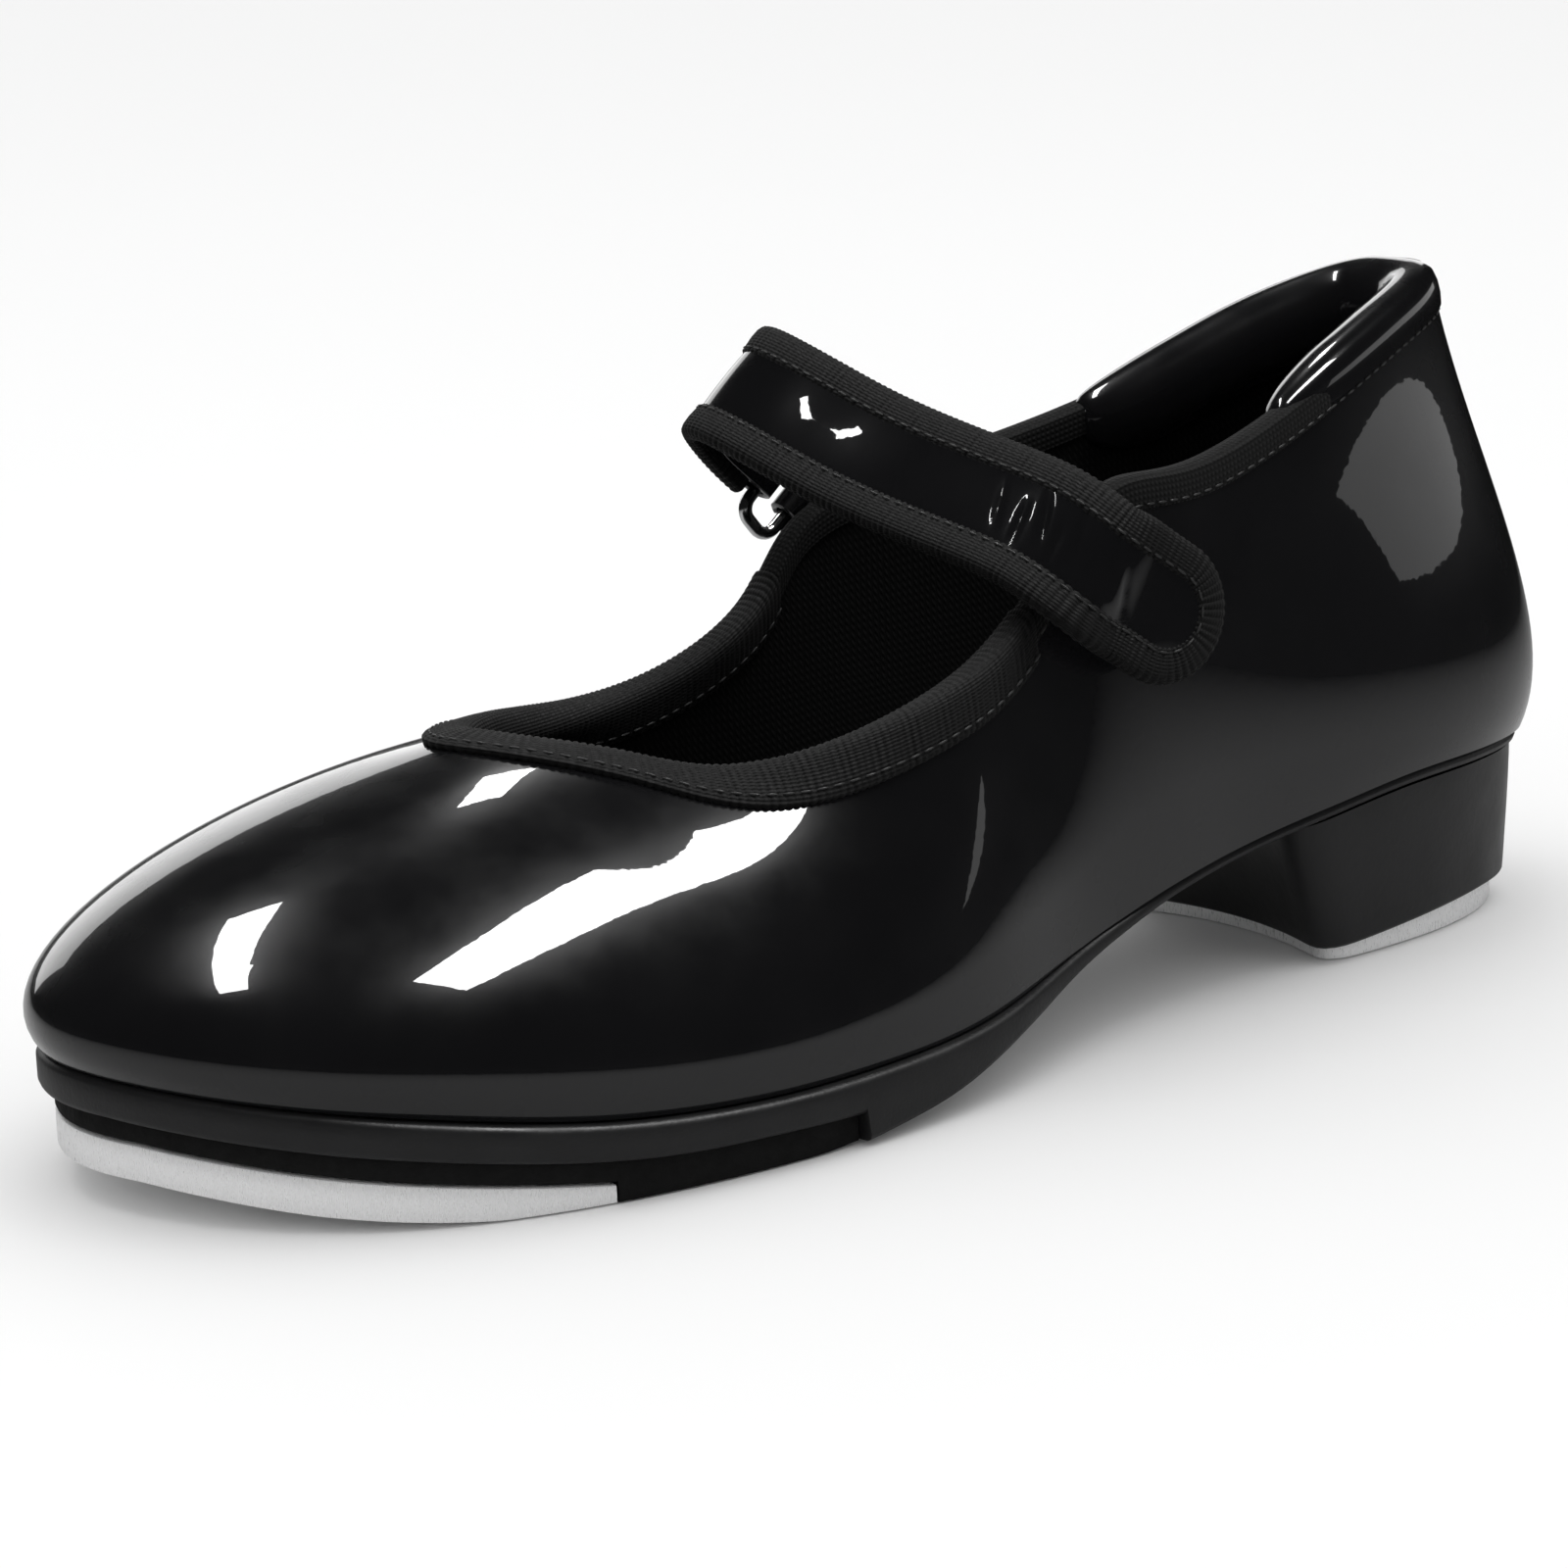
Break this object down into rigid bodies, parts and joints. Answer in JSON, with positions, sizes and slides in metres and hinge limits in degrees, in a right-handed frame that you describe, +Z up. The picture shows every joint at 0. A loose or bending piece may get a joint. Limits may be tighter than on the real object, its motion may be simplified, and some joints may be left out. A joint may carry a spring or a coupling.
{
  "type": "tap shoe",
  "caption": "Left Mary Jane tap shoe in patent leather with a hook-and-loop instep strap, ribbed edge binding, low block heel and aluminium toe and heel taps.",
  "frame": {"origin": "on the ground plane, below the middle of the shoe's box", "axes": "+X towards the toe, +Y towards the lateral (outer) side of the left foot, +Z up"},
  "size_m": [0.2243, 0.0828, 0.0882],
  "materials": {
    "patent_leather": "black patent, mirror gloss coat",
    "ribbed_tape": "black grosgrain ribbon, ribs across the tape",
    "flat_tape": "matte black woven tape",
    "lining_cloth": "matte black woven lining",
    "stiffener": "thermoplastic felt",
    "fibre_board": "brown cellulose board",
    "moulded_sole": "semi-matte moulded rubber",
    "half_sole_rubber": "matte black rubber",
    "heel_block": "black satin lacquer",
    "tap_aluminium": "brushed, with fine scratches",
    "plated_steel": "bright nickel plate",
    "hook_and_loop": "black nylon pile"
  },
  "bodies": {
    "rear": {"quarter_lateral": "patent_leather", "quarter_medial": "patent_leather", "upper_flex_lateral": "patent_leather", "upper_flex_medial": "patent_leather", "collar_pad": "patent_leather", "ring_keeper": "patent_leather", "throat_binding_lateral": "ribbed_tape", "throat_binding_medial": "ribbed_tape", "binding_flex_lateral": "ribbed_tape", "binding_flex_medial": "ribbed_tape", "topline_binding_lateral": "flat_tape", "topline_binding_medial": "flat_tape", "quarter_lining": "lining_cloth", "lining_flex_lateral": "lining_cloth", "lining_flex_medial": "lining_cloth", "footbed_rear": "lining_cloth", "heel_counter": "fibre_board", "insole_board_rear": "fibre_board", "sole_unit_rear": "moulded_sole", "half_sole_rear": "half_sole_rubber", "heel_block": "heel_block", "heel_tap": "tap_aluminium", "shank": "plated_steel", "heel_tap_screw_1": "plated_steel", "heel_tap_screw_2": "plated_steel", "heel_tap_screw_3": "plated_steel", "heel_nail_1": "plated_steel", "heel_nail_2": "plated_steel", "heel_nail_3": "plated_steel", "heel_nail_4": "plated_steel", "loop_patch": "hook_and_loop"},
    "forefoot": {"vamp": "patent_leather", "vamp_lining": "lining_cloth", "toe_puff": "stiffener", "throat_binding_front": "ribbed_tape", "sole_unit_front": "moulded_sole", "half_sole_front": "half_sole_rubber", "insole_board_front": "fibre_board", "footbed_front": "lining_cloth", "bottom_filler": "stiffener", "toe_tap": "tap_aluminium", "toe_tap_screw_1": "plated_steel", "toe_tap_screw_2": "plated_steel", "toe_tap_screw_3": "plated_steel", "toe_tap_screw_4": "plated_steel"},
    "strap_ring": {"ring": "plated_steel"},
    "strap": {"strap_core": "patent_leather", "strap_binding_front": "ribbed_tape", "strap_binding_rear": "ribbed_tape"},
    "strap_tab": {"tab_core": "patent_leather", "tab_binding": "ribbed_tape", "hook_patch": "hook_and_loop"}
  },
  "joints": [
    {"name": "forefoot_flex", "type": "hinge", "parent": "rear", "child": "forefoot", "pos_m": [0.0408, -0.00195, 0.009], "axis": [0, -1, 0], "range_deg": [0, 25], "stiffness_Nm_per_rad": 4, "deforming": ["upper_flex_lateral", "upper_flex_medial", "lining_flex_lateral", "lining_flex_medial", "binding_flex_lateral", "binding_flex_medial"]},
    {"name": "ring_swing", "type": "hinge", "parent": "rear", "child": "strap_ring", "pos_m": [-0.0213, -0.03425, 0.0642], "axis": [0.76, 0, -0.65], "range_deg": [0, 60]},
    {"name": "strap_swing", "type": "hinge", "parent": "strap_ring", "child": "strap", "pos_m": [-0.0172, -0.03375, 0.069], "axis": [0.76, 0, -0.65], "range_deg": [0, 110]},
    {"name": "tab_peel", "type": "hinge", "parent": "strap", "child": "strap_tab", "pos_m": [-0.01579, 0.03324, 0.06212], "axis": [0.5918, 0.0264, -0.8056], "range_deg": [0, 70]}
  ]
}
